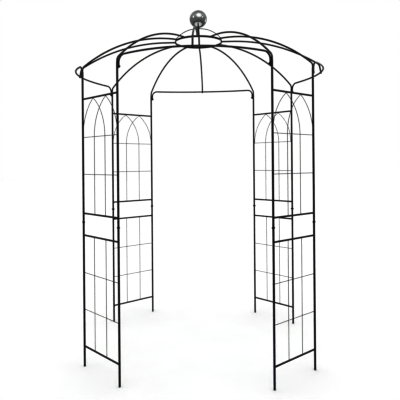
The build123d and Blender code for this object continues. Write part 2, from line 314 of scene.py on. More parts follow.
def drop_path(outward, start, end, top, bottom, level_end, dome, bend, lean=0.0):
    """Out from the centre: level, then a wide arc, then a tighter bend into a drop.

    The drop ends at the end radius and the bottom height; it leans outwards by the lean.
    """
    foot_dip = pi / 2 - lean
    ahead = (end - level_end) * sin(foot_dip) + (bottom - top + dome) * cos(foot_dip)
    dip = foot_dip - acos((ahead - bend) / (dome - bend))
    axis = UP.cross(outward)
    level = [outward * start + UP * top, outward * level_end + UP * top]
    dome_centre = outward * level_end + UP * (top - dome)
    dome_arc = arc(dome_centre, level[1], axis, dip, DOME_STEP)
    bend_centre = dome_centre + (dome_arc[-1] - dome_centre) * (1 - bend / dome)
    bend_arc = arc(bend_centre, dome_arc[-1], axis, foot_dip - dip, BEND_STEP)
    return joined(level, dome_arc, bend_arc, [outward * end + UP * bottom])


def header_path(first, second):
    """Up one leg, round its corner, along the bowed top, and down the other leg."""
    a = post_axis(first)
    b = post_axis(second)
    outward = outward_of(a + b)
    across = (b - a).normalized()
    slant_a = UP.cross(outward_of(a))
    slant_b = -UP.cross(outward_of(b))
    foot_a = a + slant_a * LEG_OFFSET
    foot_b = b + slant_b * LEG_OFFSET
    leg_across = (foot_b - foot_a).length / 2
    leg_ahead = foot_a.dot(outward)
    bow = (HEADER_MIDDLE - leg_ahead) / cos(HEADER_LEAN)
    top_radius = (leg_across**2 + bow**2 - HEADER_REACH**2) / (2 * bow)
    turn = atan2(leg_across, top_radius - bow) - atan2(HEADER_REACH, top_radius)
    climb = sin(turn) * sin(HEADER_LEAN)
    level_share = sqrt(1 - climb**2)
    corner_radius = HEADER_REACH * level_share / (1 - climb)
    lean_up = outward * cos(HEADER_LEAN) + UP * sin(HEADER_LEAN)
    middle = outward * HEADER_MIDDLE + UP * HEADER_HEIGHT
    centre = middle - lean_up * top_radius
    end_a = centre + lean_up * top_radius * cos(turn) - across * top_radius * sin(turn)
    axis = lean_up.cross(across)
    top = arc(centre, end_a, axis, 2 * turn, DOME_STEP)
    leg_top = end_a.z - corner_radius * level_share
    level_a = Vector((end_a.x - foot_a.x, end_a.y - foot_a.y, 0)).normalized()
    centre_a = foot_a + level_a * corner_radius + UP * leg_top
    corner_a = arc(centre_a, foot_a + UP * leg_top, UP.cross(level_a), pi / 2 - asin(climb), BEND_STEP)
    middle_plane = Matrix.Identity(3) - 2 * Matrix([[u * v for v in across] for u in across])
    corner_b = [middle_plane @ p for p in reversed(corner_a)]
    legs = ([foot_a + UP * HEADER_LEG_BOTTOM], [foot_b + UP * HEADER_LEG_BOTTOM])
    return joined(legs[0], corner_a, top, corner_b, legs[1])


# ---- meshes ----

class Shape:
    """Vertices and faces gathered for one piece."""

    def __init__(self):
        self.vertices = []
        self.faces = []

    def ring(self, points):
        first = len(self.vertices)
        self.vertices += points
        return list(range(first, len(self.vertices)))

    def skin(self, rings, closed):
        """Quads between rings of equal length, each ring a closed loop."""
        rings = [self.ring(points) for points in rings]
        pairs = list(zip(rings, rings[1:]))
        if closed:
            pairs.append((rings[-1], rings[0]))
        for a, b in pairs:
            count = len(a)
            for i in range(count):
                j = (i + 1) % count
                self.faces.append((a[i], a[j], b[j], b[i]))
        return rings

    def capped(self, rings):
        """A skin whose two ends are closed by flat faces."""
        made = self.skin(rings, closed=False)
        self.faces.append(tuple(reversed(made[0])))
        self.faces.append(tuple(made[-1]))

    def piece(self, name, look, *nodes, sharp=SHARP_EDGE):
        """Make the finished object, riding on the one body, in place of the nodes it stands for."""
        material, slot = look
        mesh = bpy.data.meshes.new(name)
        mesh.from_pydata(self.vertices, [], self.faces)
        mesh.validate()
        mesh.polygons.foreach_set("use_smooth", [True] * len(mesh.polygons))
        mesh.set_sharp_from_angle(angle=radians(sharp))
        mesh.materials.append(material)
        obj = bpy.data.objects.new(name, mesh)
        scene.collection.objects.link(obj)
        recalculate_normals(mesh)
        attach(obj, "root")
        if nodes:
            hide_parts(*nodes)


def recalculate_normals(mesh):
    work = bmesh.new()
    work.from_mesh(mesh)
    bmesh.ops.recalc_face_normals(work, faces=work.faces)
    work.to_mesh(mesh)
    work.free()


def frames_along(points):
    """For every point: the tangent, two axes square to it that don't twist, and the bending vector."""
    tangents = []
    for i in range(len(points)):
        before = points[i] - points[max(i - 1, 0)]
        after = points[min(i + 1, len(points) - 1)] - points[i]
        tangents.append((before.normalized() + after.normalized()).normalized())
    side, _ = square_axes(tangents[0])
    frames = []
    for i, tangent in enumerate(tangents):
        side = (side - tangent * side.dot(tangent)).normalized()
        bending = Vector((0, 0, 0))
        if 0 < i < len(points) - 1:
            before = points[i] - points[i - 1]
            after = points[i + 1] - points[i]
            bending = (after.normalized() - before.normalized()) / ((before.length + after.length) / 2)
        frames.append((tangent, side, tangent.cross(side), bending))
    return frames


def circle_at(point, axes, radius, sides):
    """A ring of points; where the tube bends it is slightly flattened across the bend."""
    _, side, other, bending = axes
    flattening = min(MOST_FLATTENING, bending.length * BEND_FLATTENING)
    towards = bending.normalized() if bending.length > NO_LENGTH else bending
    ring = []
    for _, spoke in spokes(side, other, sides):
        ring.append(point + spoke * radius * (1 - flattening * spoke.dot(towards) ** 2))
    return ring


def dense_ends(points):
    """The path with one extra point a little inside each end, for its rounded edges."""
    first = points[0] + (points[1] - points[0]).normalized() * EDGE_ROUND
    last = points[-1] + (points[-2] - points[-1]).normalized() * EDGE_ROUND
    return [points[0], first] + points[1:-1] + [last, points[-1]]


def outer_rings(points, frames, radius, sides):
    """Rings along a path, the first and the last drawn in for rounded ends."""
    drawn_in = radius - EDGE_ROUND
    radii = [drawn_in] + [radius] * (len(points) - 2) + [drawn_in]
    return [circle_at(p, axes, r, sides) for p, axes, r in zip(points, frames, radii)]


def add_wire(shape, points):
    """A solid wire with rounded ends."""
    points = dense_ends(points)
    shape.capped(outer_rings(points, frames_along(points), WIRE_RADIUS, WIRE_SIDES))


def lathe_rings(profile, origin, axis, sides):
    """Rings round an axis for a profile of (radius, distance along the axis).

    A radius may also be a function of the angle.
    """
    side, other = square_axes(axis)
    rings = []
    for radius, distance in profile:
        ring = []
        for angle, spoke in spokes(side, other, sides):
            reach = radius(angle) if callable(radius) else radius
            ring.append(origin + axis * distance + spoke * reach)
        rings.append(ring)
    return rings


def rounded(corners, radius):
    """A closed outline of (radius, height) with its corners rounded."""
    outline = []
    count = len(corners)
    for i in range(count):
        here = Vector(corners[i])
        before = (Vector(corners[i - 1]) - here).normalized()
        after = (Vector(corners[(i + 1) % count]) - here).normalized()
        start = here + before * radius
        end = here + after * radius
        for k in range(CORNER_STEPS + 1):
            t = k / CORNER_STEPS
            outline.append(tuple(start * (1 - t) ** 2 + here * 2 * t * (1 - t) + end * t**2))
    return outline


# ---- welds ----

def add_bead(shape, points, outs, seed):
    """A closed weld bead along a loop, with the ripples of its solidified pool."""
    count = len(points)
    rings = []
    for i in range(count):
        tangent = (points[(i + 1) % count] - points[i - 1]).normalized()
        out = (outs[i] - tangent * outs[i].dot(tangent)).normalized()
        over = tangent.cross(out)
        ripple = abs(sin(BEAD_RIPPLES * pi * i / count))
        lump = noise.noise(points[i] * BEAD_LUMP_SCALE + Vector((seed, 0, 0)))
        size = BEAD_RADIUS * (BEAD_BASE + BEAD_RIPPLE * ripple + BEAD_LUMP * lump)
        ring = []
        for k in range(BEAD_SIDES):
            angle = 2 * pi * k / BEAD_SIDES
            spoke = out * cos(angle) * BEAD_HEIGHT + over * sin(angle) * BEAD_WIDTH
            ring.append(points[i] + spoke * size)
        rings.append(ring)
    shape.skin(rings, closed=True)


def add_nugget(shape, centre, along, size):
    """A small weld blob, longer along one direction and a little lumpy."""
    seed = random.random() * SEED_RANGE
    drift = Vector((seed * NUGGET_DRIFT[0], seed * NUGGET_DRIFT[1], 0))
    side, other = square_axes(along)
    rings = []
    for k in range(1, NUGGET_RINGS):
        polar = pi * k / NUGGET_RINGS
        ring = []
        for _, spoke in spokes(side, other, NUGGET_SIDES):
            direction = along * cos(polar) * NUGGET_STRETCH + spoke * sin(polar)
            lump = noise.noise(direction * NUGGET_LUMP_SCALE + drift)
            ring.append(centre + direction * size * (1 + NUGGET_LUMP * lump))
        rings.append(ring)
    shape.capped(rings)


def add_coped_bar(shape, welds, a, b, seed):
    """A tube bar between two post axes, its ends cut to the posts, and the weld bead at each end."""
    direction = (b - a).normalized()
    side = UP.cross(direction)
    length = (b - a).length

    def saddle(radius, angle):
        return sqrt(POST_RADIUS**2 - (radius * cos(angle)) ** 2)

    def ring(radius, from_a):
        points = []
        for angle, spoke in spokes(side, UP, ROUND_SIDES):
            shift = saddle(radius, angle)
            distance = shift if from_a else length - shift
            points.append(a + direction * distance + spoke * radius)
        return points

    inner = TUBE_RADIUS - TUBE_WALL
    outside = [ring(TUBE_RADIUS, True), ring(TUBE_RADIUS, False)]
    shape.skin(outside + [ring(inner, False), ring(inner, True)], closed=True)
    for end, from_a in enumerate((True, False)):
        points = []
        outs = []
        for angle, spoke in spokes(side, UP, BEAD_STATIONS):
            shift = saddle(TUBE_RADIUS, angle) + BEAD_OFF_POST
            distance = shift if from_a else length - shift
            points.append(a + direction * distance + spoke * (TUBE_RADIUS + BEAD_OFF_BAR))
            outs.append((spoke + direction * (1 if from_a else -1) * BEAD_TILT).normalized())
        add_bead(welds, points, outs, seed + end * BEAD_SEED_STEP)


# ---- fasteners ----

def hexagon(flat):
    """Radius of a hexagon by angle."""
    def radius(angle):
        return flat / 2 / cos((angle + pi / 6) % (pi / 3) - pi / 6)
    return radius


def bevelled_hexagon(flat, corner):
    """Radius of a hexagon by angle, held inside a bevel's circle."""
    full = hexagon(flat)
    return lambda angle: min(full(angle), corner)


def add_hex_body(shape, origin, axis, flat, height, flange_radius, bore):
    """A flanged hex body standing on its flange: bevelled corners, and a bore or a dimple."""
    corner = flat / sqrt(3)
    profile = [
        (bore, 0),
        (flange_radius - FLANGE_EDGE, 0),
        (flange_radius, FLANGE_EDGE),
        (flange_radius, FLANGE * FLANGE_SIDE),
        (flange_radius - HEX_FILLET, FLANGE * FLANGE_SHOULDER),
        (bevelled_hexagon(flat + HEX_FILLET, corner + HEX_FILLET / 2), FLANGE + FINE_EDGE),
        (hexagon(flat), FLANGE + HEX_FILLET),
        (hexagon(flat), height - 2 * HEX_BEVEL),
    ]
    for inside, drop in HEX_CROWN:
        profile.append((bevelled_hexagon(flat, corner - HEX_BEVEL * inside), height - HEX_BEVEL * drop))
    profile.append((max(bore + HEX_BEVEL, flat * HEAD_DIMPLE["mouth"]), height))
    if bore:
        profile.append((bore + NUT_CHAMFER["width"], height - FINE_EDGE))
        profile.append((bore, height - NUT_CHAMFER["depth"]))
        shape.skin(lathe_rings(profile, origin, axis, HEX_SIDES), closed=True)
    else:
        for share in (HEAD_DIMPLE["wall"], HEAD_DIMPLE["floor"]):
            profile.append((flat * share, height - HEAD_DIMPLE["depth"]))
        shape.capped(lathe_rings(profile, origin, axis, HEX_SIDES))


def add_shank(shape, origin, axis, radius, length, pitch, threaded):
    """A shank whose last stretch carries a helical thread."""
    side, other = square_axes(axis)
    stations = [0, length - threaded]
    steps = max(2, round(threaded / pitch * THREAD_STATIONS))
    stations += [length - threaded + threaded * (k + 1) / steps for k in range(steps)]
    rings = []
    for distance in stations:
        ring = []
        into = distance - (length - threaded)
        fade = min(1, max(0, into / (pitch * THREAD_RUN_OUT)))
        tip = min(1, max(0, (length - distance) / SHANK_TIP))
        for i, (_, spoke) in enumerate(spokes(side, other, THREAD_SIDES)):
            wave = abs(((distance / pitch - i / THREAD_SIDES) % 1) * 2 - 1)
            depth = pitch * THREAD_DEPTH * (1 - wave) * fade
            reach = (radius - depth) * (1 - TIP_TAPER + TIP_TAPER * tip)
            ring.append(origin + axis * distance + spoke * reach)
        rings.append(ring)
    shape.capped(rings)


def add_bolt(shape, origin, axis, length, threaded, size=M6):
    """A flanged hex bolt or screw: its head behind the origin, its shank along the axis."""
    radius, flat, height, pitch = size.values()
    flange = FLANGE_RADIUS * flat / M6["flat"]
    add_hex_body(shape, origin, -axis, flat, height + FLANGE, flange, 0)
    add_shank(shape, origin, axis, radius, length, pitch, threaded)


def add_nut(shape, origin, axis):
    """A flanged hex nut standing on its flange at the origin."""
    add_hex_body(shape, origin, axis, M6["flat"], NUT_HEIGHT, FLANGE_RADIUS, M6["radius"])


# ---- materials ----

def mixed_colour(tree, factor, a, b):
    """Colour a where the factor is 0 and b where it is 1; either may be a socket."""
    node = tree.nodes.new("ShaderNodeMix")
    node.data_type = "RGBA"
    tree.links.new(factor, node.inputs["Factor"])
    for value, target in zip((a, b), [s for s in node.inputs if s.type == "RGBA"]):
        if isinstance(value, tuple):
            target.default_value = (*value, 1)
        else:
            tree.links.new(value, target)
    return [s for s in node.outputs if s.type == "RGBA"][0]


def fill(node, **values):
    """Set a node's inputs by their names, with _ for a space."""
    for name, value in values.items():
        node.inputs[name.replace("_", " ")].default_value = value


class Nodes:
    """A short way to build a material's node tree."""

    def __init__(self, name):
        self.material = bpy.data.materials.new(name)
        self.material.use_nodes = True
        self.tree = self.material.node_tree
        self.shader = self.tree.nodes["Principled BSDF"]
        self.place = self.add("ShaderNodeTexCoord").outputs["Object"]

    def add(self, kind, **settings):
        node = self.tree.nodes.new(kind)
        for key, value in settings.items():
            setattr(node, key, value)
        return node

    def join(self, source, target):
        self.tree.links.new(source, target)

    def noise(self, scale, detail, roughness=0.55, stretch=None):
        """Noise of this many cells to the metre; the stretch scales each axis first."""
        node = self.add("ShaderNodeTexNoise")
        fill(node, Scale=scale, Detail=detail, Roughness=roughness)
        place = self.place
        if stretch:
            mapping = self.add("ShaderNodeMapping")
            fill(mapping, Scale=stretch)
            self.join(self.place, mapping.inputs["Vector"])
            place = mapping.outputs["Vector"]
        self.join(place, node.inputs["Vector"])
        return node.outputs["Fac"]

    def specks(self, scale, size):
        """Small round specks: 1 inside them, 0 outside."""
        node = self.add("ShaderNodeTexVoronoi")
        fill(node, Scale=scale)
        self.join(self.place, node.inputs["Vector"])
        return self.ranged(node.outputs["Distance"], size, size * 0.5)

    def ranged(self, value, low, high, to_low=0.0, to_high=1.0):
        """A value from low to high, moved to between the two new ends."""
        node = self.add("ShaderNodeMapRange")
        fill(node, From_Min=low, From_Max=high, To_Min=to_low, To_Max=to_high)
        self.join(value, node.inputs["Value"])
        return node.outputs["Result"]

    def times(self, a, b):
        node = self.add("ShaderNodeMath", operation="MULTIPLY")
        self.join(a, node.inputs[0])
        self.join(b, node.inputs[1])
        return node.outputs["Value"]

    def cloudy(self, scale, detail, low=0.0, high=1.0):
        """Soft noise between two values."""
        return self.ranged(self.noise(scale, detail), 0.3, 0.7, low, high)

    def blend(self, factor, a, b):
        return mixed_colour(self.tree, factor, a, b)

    def upward(self, vector):
        """The Z share of a vector."""
        split = self.add("ShaderNodeSeparateXYZ")
        self.join(vector, split.inputs["Vector"])
        return split.outputs["Z"]

    def facing_up(self):
        return self.upward(self.add("ShaderNodeNewGeometry").outputs["Normal"])

    def height_of_place(self):
        return self.upward(self.place)

    def bump(self, height, distance, strength, under=None):
        """A bump of so many metres, on top of the one under it."""
        node = self.add("ShaderNodeBump")
        fill(node, Distance=distance, Strength=strength)
        self.join(height, node.inputs["Height"])
        if under:
            self.join(under, node.inputs["Normal"])
        return node.outputs["Normal"]

    def finish(self, colour, roughness, normal, **fixed):
        """Join the three sockets, set the shader's fixed inputs by name, and give the material."""
        self.join(colour, self.shader.inputs["Base Color"])
        self.join(roughness, self.shader.inputs["Roughness"])
        self.join(normal, self.shader.inputs["Normal"])
        fill(self.shader, **fixed)
        return self.material


# colours, scene linear
COAT_DEEP = (0.0065, 0.0068, 0.0076)
COAT_PALE = (0.0115, 0.0119, 0.0132)
COAT_GRAIN = (0.016, 0.0165, 0.018)
DUST = (0.085, 0.082, 0.076)
SPLASH = (0.10, 0.092, 0.08)
CHIP = (0.09, 0.088, 0.086)
MIRROR_TINTS = ((0.50, 0.51, 0.51), (0.58, 0.59, 0.59))
BOLT_BLACK = (0.014, 0.0145, 0.016)
BOLT_WORN = (0.06, 0.06, 0.062)
RUST = (0.09, 0.045, 0.022)
ZINC_TINTS = ((0.50, 0.52, 0.55), (0.60, 0.58, 0.50))
PLASTIC_TINTS = ((0.010, 0.010, 0.0105), (0.018, 0.018, 0.019))
PLASTIC_SCUFF = (0.12, 0.115, 0.105)
FLOOR_TINTS = ((0.93, 0.93, 0.93), (0.95, 0.95, 0.95))

# heights above the ground where splashes on the posts and scuffs on the plugs end
SPLASH_TOP = 0.28
SCUFF_TOP = 0.0035


def powder_coat(name, pool_gloss=0.0):
    """Satin black powder coat: orange peel, mottling, dust on top faces, splashes near the ground.

    The pool gloss takes that much off the roughness, for the smoother coat over welds.
    """
    n = Nodes(name)
    mottling = n.ranged(n.noise(9, 5), 0.35, 0.65)
    colour = n.blend(mottling, COAT_DEEP, COAT_PALE)
    colour = n.blend(n.times(n.cloudy(420, 2), mottling), colour, COAT_GRAIN)
    drifts = n.ranged(n.noise(26, 6, 0.7), 0.42, 0.72)
    dust = n.times(n.ranged(n.facing_up(), 0.55, 1.0, 0, 0.3), drifts)
    colour = n.blend(dust, colour, DUST)
    near_ground = n.ranged(n.height_of_place(), SPLASH_TOP, 0.0, 0, 0.5)
    splashes = n.times(near_ground, n.specks(190, 0.2))
    colour = n.blend(splashes, colour, SPLASH)
    chips = n.times(n.specks(38, 0.035), n.ranged(n.noise(4, 2), 0.55, 0.62, 0, 0.55))
    colour = n.blend(chips, colour, CHIP)
    roughness = n.cloudy(14, 5, 0.30 - pool_gloss, 0.42 - pool_gloss)
    peel = n.bump(n.noise(520, 2, 0.5), 0.00012, 0.35)
    fine = n.bump(n.noise(2600, 1, 0.5), 0.00002, 0.3, peel)
    gloss = dict(Specular_IOR_Level=0.75, Coat_Weight=0.5, Coat_Roughness=0.2)
    return n.finish(colour, roughness, fine, **gloss)


def mirror_metal(name):
    """Dark polished metal with faint smudges, hairlines and a slightly uneven surface."""
    n = Nodes(name)
    colour = n.blend(n.cloudy(16, 4), *MIRROR_TINTS)
    smudges = n.ranged(n.noise(34, 6, 0.62), 0.45, 0.78, 0.17, 0.27)
    spun = n.noise(60, 3, 0.6, stretch=(0.6, 0.6, 26))
    wavy = n.bump(n.noise(11, 1, 0.4), 0.00035, 0.16)
    hairlines = n.bump(spun, 0.000012, 0.22, wavy)
    return n.finish(colour, smudges, hairlines, Metallic=1.0)


def blackened_steel(name):
    """Black-coated fastener steel, worn a little brighter in patches."""
    n = Nodes(name)
    wear = n.ranged(n.noise(260, 5, 0.65), 0.52, 0.7)
    colour = n.blend(wear, BOLT_BLACK, BOLT_WORN)
    rust = n.times(n.ranged(n.noise(90, 5, 0.7), 0.6, 0.72, 0, 0.35), wear)
    colour = n.blend(rust, colour, RUST)
    roughness = n.cloudy(300, 4, 0.28, 0.5)
    pits = n.bump(n.noise(1500, 3, 0.6), 0.00004, 0.35)
    return n.finish(colour, roughness, pits, Metallic=0.55)


def zinc_plate(name):
    """Zinc-plated steel with turning marks and a faint blue-yellow cast."""
    n = Nodes(name)
    cast = n.ranged(n.noise(120, 3), 0.35, 0.65)
    colour = n.blend(cast, *ZINC_TINTS)
    roughness = n.cloudy(700, 3, 0.25, 0.42)
    marks = n.bump(n.noise(900, 3, 0.6, stretch=(1, 1, 0.1)), 0.00003, 0.4)
    return n.finish(colour, roughness, marks, Metallic=0.95)


def moulded_plastic(name):
    """Black moulded plastic with a fine spark-eroded grain, scuffed grey underneath."""
    n = Nodes(name)
    patches = n.ranged(n.noise(240, 5, 0.7), 0.5, 0.7)
    scuffs = n.times(patches, n.ranged(n.height_of_place(), SCUFF_TOP, 0.0, 0, 0.6))
    colour = n.blend(n.cloudy(60, 4), *PLASTIC_TINTS)
    colour = n.blend(scuffs, colour, PLASTIC_SCUFF)
    roughness = n.cloudy(400, 4, 0.5, 0.72)
    grain = n.bump(n.noise(1900, 2, 0.55), 0.00006, 0.5)
    return n.finish(colour, roughness, grain, Specular_IOR_Level=0.4)


def studio_white(name):
    """The pale floor: matt white, hardly uneven."""
    n = Nodes(name)
    colour = n.blend(n.cloudy(2.5, 3), *FLOOR_TINTS)
    roughness = n.cloudy(6, 2, 0.85, 0.95)
    texture = n.bump(n.noise(220, 2), 0.0001, 0.1)
    return n.finish(colour, roughness, texture, Specular_IOR_Level=0.1)


# looks: a material and the record's slot that it fills
COAT = (powder_coat("satin_black_coat"), "black_powder_coat")
WELD_COAT = (powder_coat("satin_black_coat_on_welds", pool_gloss=0.06), "black_powder_coat")
MIRROR = (mirror_metal("dark_mirror_metal"), "polished_ball")
BOLT = (blackened_steel("black_fastener_steel"), "bolt_steel")
ZINC = (zinc_plate("zinc_plate"), "insert_steel")
PLASTIC = (moulded_plastic("black_moulded_plastic"), "foot_plastic")


# ---- posts ----

def post_tube(node, post, corners):
    """A turned tube on a post's axis, from the corners of its wall."""
    shape = Shape()
    profile = rounded(corners, EDGE_ROUND)
    shape.skin(lathe_rings(profile, post_axis(post), UP, POST_SIDES), closed=True)
    shape.piece(f"{node}_tube", COAT, node)


def upper_post(post):
    bore = POST_RADIUS - TUBE_WALL
    corners = ((bore, POST_JOINT), (POST_RADIUS, POST_JOINT), (POST_RADIUS, POST_TOP), (bore, POST_TOP))
    post_tube(f"upper_post_{post}", post, corners)


def lower_post(post):
    """The tube from the foot plug to the joint, necked to the spigot."""
    bore = POST_RADIUS - TUBE_WALL
    spigot = TUBE_RADIUS
    spigot_bore = spigot - TUBE_WALL
    neck = POST_JOINT - TUBE_WALL
    corners = (
        (bore, PLUG_LIP),
        (POST_RADIUS, PLUG_LIP),
        (POST_RADIUS, POST_JOINT),
        (spigot, POST_JOINT),
        (spigot, POST_JOINT + SPIGOT_LENGTH),
        (spigot_bore, POST_JOINT + SPIGOT_LENGTH),
        (spigot_bore, neck),
        (bore, neck - SPIGOT_TAPER),
    )
    post_tube(f"lower_post_{post}", post, corners)


def foot_plugs():
    """Rounded plugs: lip, ribbed stem and a small gate mark underneath."""
    shape = Shape()
    stem = POST_RADIUS - TUBE_WALL - PLUG_PLAY
    groove = stem - PLUG_RIB_DEPTH
    profile = [(GATE_MARK["floor"], GATE_MARK["depth"]), (GATE_MARK["mouth"], 0.0)]
    for k in range(PLUG_ROUND_STEPS + 1):
        angle = pi / 2 * k / PLUG_ROUND_STEPS
        edge = POST_RADIUS - PLUG_ROUND + PLUG_ROUND * sin(angle)
        profile.append((edge, PLUG_ROUND - PLUG_ROUND * cos(angle)))
    profile += [(POST_RADIUS, PLUG_LIP - FINE_EDGE), (stem, PLUG_LIP - FINE_EDGE / 2)]
    for k in range(PLUG_RIBS):
        rib = PLUG_LIP + PLUG_FIRST_RIB + PLUG_RIB_SPACING * k
        profile += [(groove, rib - PLUG_RIB_SLOPE), (stem, rib), (groove, rib + PLUG_RIB_BACK)]
    profile.append((groove, PLUG_STEM_TOP - PLUG_TIP["height"]))
    profile.append((stem - PLUG_TIP["inset"], PLUG_STEM_TOP))
    for post in POSTS:
        shape.capped(lathe_rings(profile, post_axis(post), UP, POST_SIDES))
    shape.piece("foot_plugs_moulded", PLASTIC, "foot_plugs")


# ---- trellis panels ----

def with_welds(node, kind, shape, welds):
    shape.piece(f"{node}_{kind}", COAT, node)
    welds.piece(f"{node}_welds", WELD_COAT)


def bars(name, level, panel):
    """The two cross bars of one half of a panel, and their weld beads."""
    low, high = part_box(f"{level}_bars_{name}")
    shape = Shape()
    welds = Shape()
    for k, height in enumerate((low.z + TUBE_RADIUS, high.z - TUBE_RADIUS)):
        a = panel.point(-panel.half_width, height)
        b = panel.point(panel.half_width, height)
        add_coped_bar(shape, welds, a, b, random.random() * SEED_RANGE + k)
    with_welds(f"{level}_bars_{name}", "tubes", shape, welds)
    return low.z + TUBE_RADIUS, high.z - TUBE_RADIUS


def wire_end(panel, proud):
    """How far across a level wire reaches before it meets the post."""
    return panel.half_width - sqrt(POST_RADIUS**2 - proud**2)


def lower_trellis(name, panel, bottom, top):
    """Two upright wires outside and two level wires inside, with a weld at every meeting."""
    proud = WIRE_RADIUS + WELD_GAP
    third = panel.half_width / 3
    on_bar = sqrt(TUBE_RADIUS**2 - proud**2)
    shape = Shape()
    welds = Shape()
    for side in (-1, 1):
        foot = panel.point(side * third, bottom + on_bar, proud)
        head = panel.point(side * third, top - on_bar, proud)
        add_wire(shape, [foot, head])
        for end in (foot, head):
            add_nugget(welds, end + panel.outward * BAR_WELD_OUT, panel.across, BAR_WELD)
    for height in LOWER_WIRE_HEIGHTS:
        reach = wire_end(panel, proud)
        ends = [panel.point(side * reach, height, -proud) for side in (-1, 1)]
        add_wire(shape, ends)
        for end in ends:
            add_nugget(welds, end - panel.outward * END_WELD_IN, UP, END_WELD)
        for side in (-1, 1):
            add_nugget(welds, panel.point(side * third, height), panel.outward, CROSSING_WELD)
    with_welds(f"lower_trellis_{name}", "wires", shape, welds)


def arch_points(panel, foot, apex, apex_height, proud, straight_to=None):
    """One wire of a pointed arch: an arc from the spring line to the apex."""
    rise = apex_height - ARCH_SPRING_HEIGHT
    half_span = abs(apex - foot)
    inward = 1 if apex > foot else -1
    radius = (half_span**2 + rise**2) / (2 * half_span)
    centre = panel.point(foot + inward * radius, ARCH_SPRING_HEIGHT, proud)
    start = panel.point(foot, ARCH_SPRING_HEIGHT, proud)
    turn_axis = UP.cross(panel.across * inward)
    points = arc(centre, start, turn_axis, asin(rise / radius), ARCH_STEP)
    if straight_to is not None:
        points = [panel.point(foot, straight_to, proud)] + points
    return points


def upper_trellis(name, panel, bottom, top, facing):
    """Two interlaced pointed arches and two level wires, with a weld at every meeting."""
    proud = 2 * WIRE_RADIUS + WELD_GAP
    on_bar = sqrt(TUBE_RADIUS**2 - proud**2)
    apex_height = top - on_bar - WIRE_RADIUS * APEX_INTO_BAR
    beside_post = panel.half_width - sqrt((POST_RADIUS + WIRE_RADIUS + WELD_GAP) ** 2 - proud**2)
    third = panel.half_width / 3
    shape = Shape()
    welds = Shape()
    for side in (-1, 1):
        layer = facing * side * proud
        outer = arch_points(panel, side * beside_post, side * third, apex_height, layer)
        inner = arch_points(panel, -side * third, side * third, apex_height, layer, bottom + on_bar)
        add_wire(shape, outer)
        add_wire(shape, inner)
        tuck = panel.outward * (ARCH_WELD_TUCK if layer > 0 else -ARCH_WELD_TUCK)
        apex = panel.point(side * third, apex_height + APEX_WELD_LIFT, layer) + tuck
        add_nugget(welds, apex, panel.across, APEX_WELD)
        add_nugget(welds, inner[0] + tuck, panel.across, BAR_WELD)
        add_nugget(welds, outer[0] + panel.across * side * SPRING_WELD_SHIFT, UP, END_WELD)
        for height in (UPPER_WIRE_HEIGHT, ARCH_SPRING_HEIGHT):
            crossing = panel.point(-side * third, height, layer / 2)
            add_nugget(welds, crossing, panel.outward, CROSSING_WELD)
    for height in (UPPER_WIRE_HEIGHT, ARCH_SPRING_HEIGHT):
        ends = [panel.point(side * wire_end(panel, 0), height) for side in (-1, 1)]
        add_wire(shape, ends)
        for end in ends:
            add_nugget(welds, end, UP, END_WELD)
    with_welds(f"upper_trellis_{name}", "wires", shape, welds)


# ---- headers and ribs ----

def bent_tube(node, path):
    """A bent tube with open, slightly rounded ends."""
    points = dense_ends(path)
    frames = frames_along(points)
    outer = outer_rings(points, frames, TUBE_RADIUS, ROUND_SIDES)
    bore = TUBE_RADIUS - TUBE_WALL
    inner = [circle_at(p, axes, bore, ROUND_SIDES) for p, axes in zip(points, frames)]
    shape = Shape()
    shape.skin(outer + inner[::-1], closed=True)
    shape.piece(f"{node}_tube", COAT, node)


def header(opening):
    bent_tube(f"header_{opening}", header_path(*OPENINGS[opening]))


def post_rib(post):
    axis = post_axis(post)
    path = drop_path(outward_of(axis), RING_OUTER, axis.length, CROWN, RIB_TAIL_BOTTOM, **POST_RIB)
    bent_tube(f"rib_{post}", path)


def mid_rib(opening):
    """A rib down to the middle of a header, its foot cut to the header's tube."""
    shape = Shape()
    outward = outward_of(centre_of(f"rib_{opening}"))
    path = drop_path(outward, RING_OUTER, HEADER_MIDDLE, CROWN, HEADER_HEIGHT, **MID_RIB)
    add_coped_foot_tube(shape, path, outward)
    shape.piece(f"rib_{opening}_tube", COAT, f"rib_{opening}")


def add_coped_foot_tube(shape, points, outward):
    """A bent tube whose last ring is cut to a level tube that crosses under it."""
    foot = points[-1]
    up_foot = (points[-2] - foot).normalized()
    aside = UP.cross(outward).cross(up_foot)
    frames = frames_along(points)
    bore = TUBE_RADIUS - TUBE_WALL

    def saddle_ring(radius):
        cut = []
        for p in circle_at(foot, frames[-1], radius, ROUND_SIDES):
            off_line = (p - foot).dot(aside)
            cut.append(p + up_foot * sqrt(max(0, TUBE_RADIUS**2 - off_line**2)))
        return cut

    first = points[0] + (points[1] - points[0]).normalized() * EDGE_ROUND
    outer = [circle_at(points[0], frames[0], TUBE_RADIUS - EDGE_ROUND, ROUND_SIDES)]
    outer.append(circle_at(first, frames[0], TUBE_RADIUS, ROUND_SIDES))
    outer += [circle_at(p, axes, TUBE_RADIUS, ROUND_SIDES) for p, axes in zip(points[1:-1], frames[1:-1])]
    outer.append(saddle_ring(TUBE_RADIUS))
    inner = [circle_at(p, axes, bore, ROUND_SIDES) for p, axes in zip(points[:-1], frames[:-1])]
    inner.append(saddle_ring(bore))
    shape.skin(outer + inner[::-1], closed=True)


# ---- crown ----

def crown_ring():
    shape = Shape()
    low = CROWN - RING_DEPTH / 2
    high = CROWN + RING_DEPTH / 2
    corners = ((RING_INNER, low), (RING_OUTER, low), (RING_OUTER, high), (RING_INNER, high))
    shape.skin(lathe_rings(rounded(corners, BAND_ROUND), CENTRE, UP, RING_SIDES), closed=True)
    shape.piece("crown_ring_band", COAT, "crown_ring")
    ring_seam()


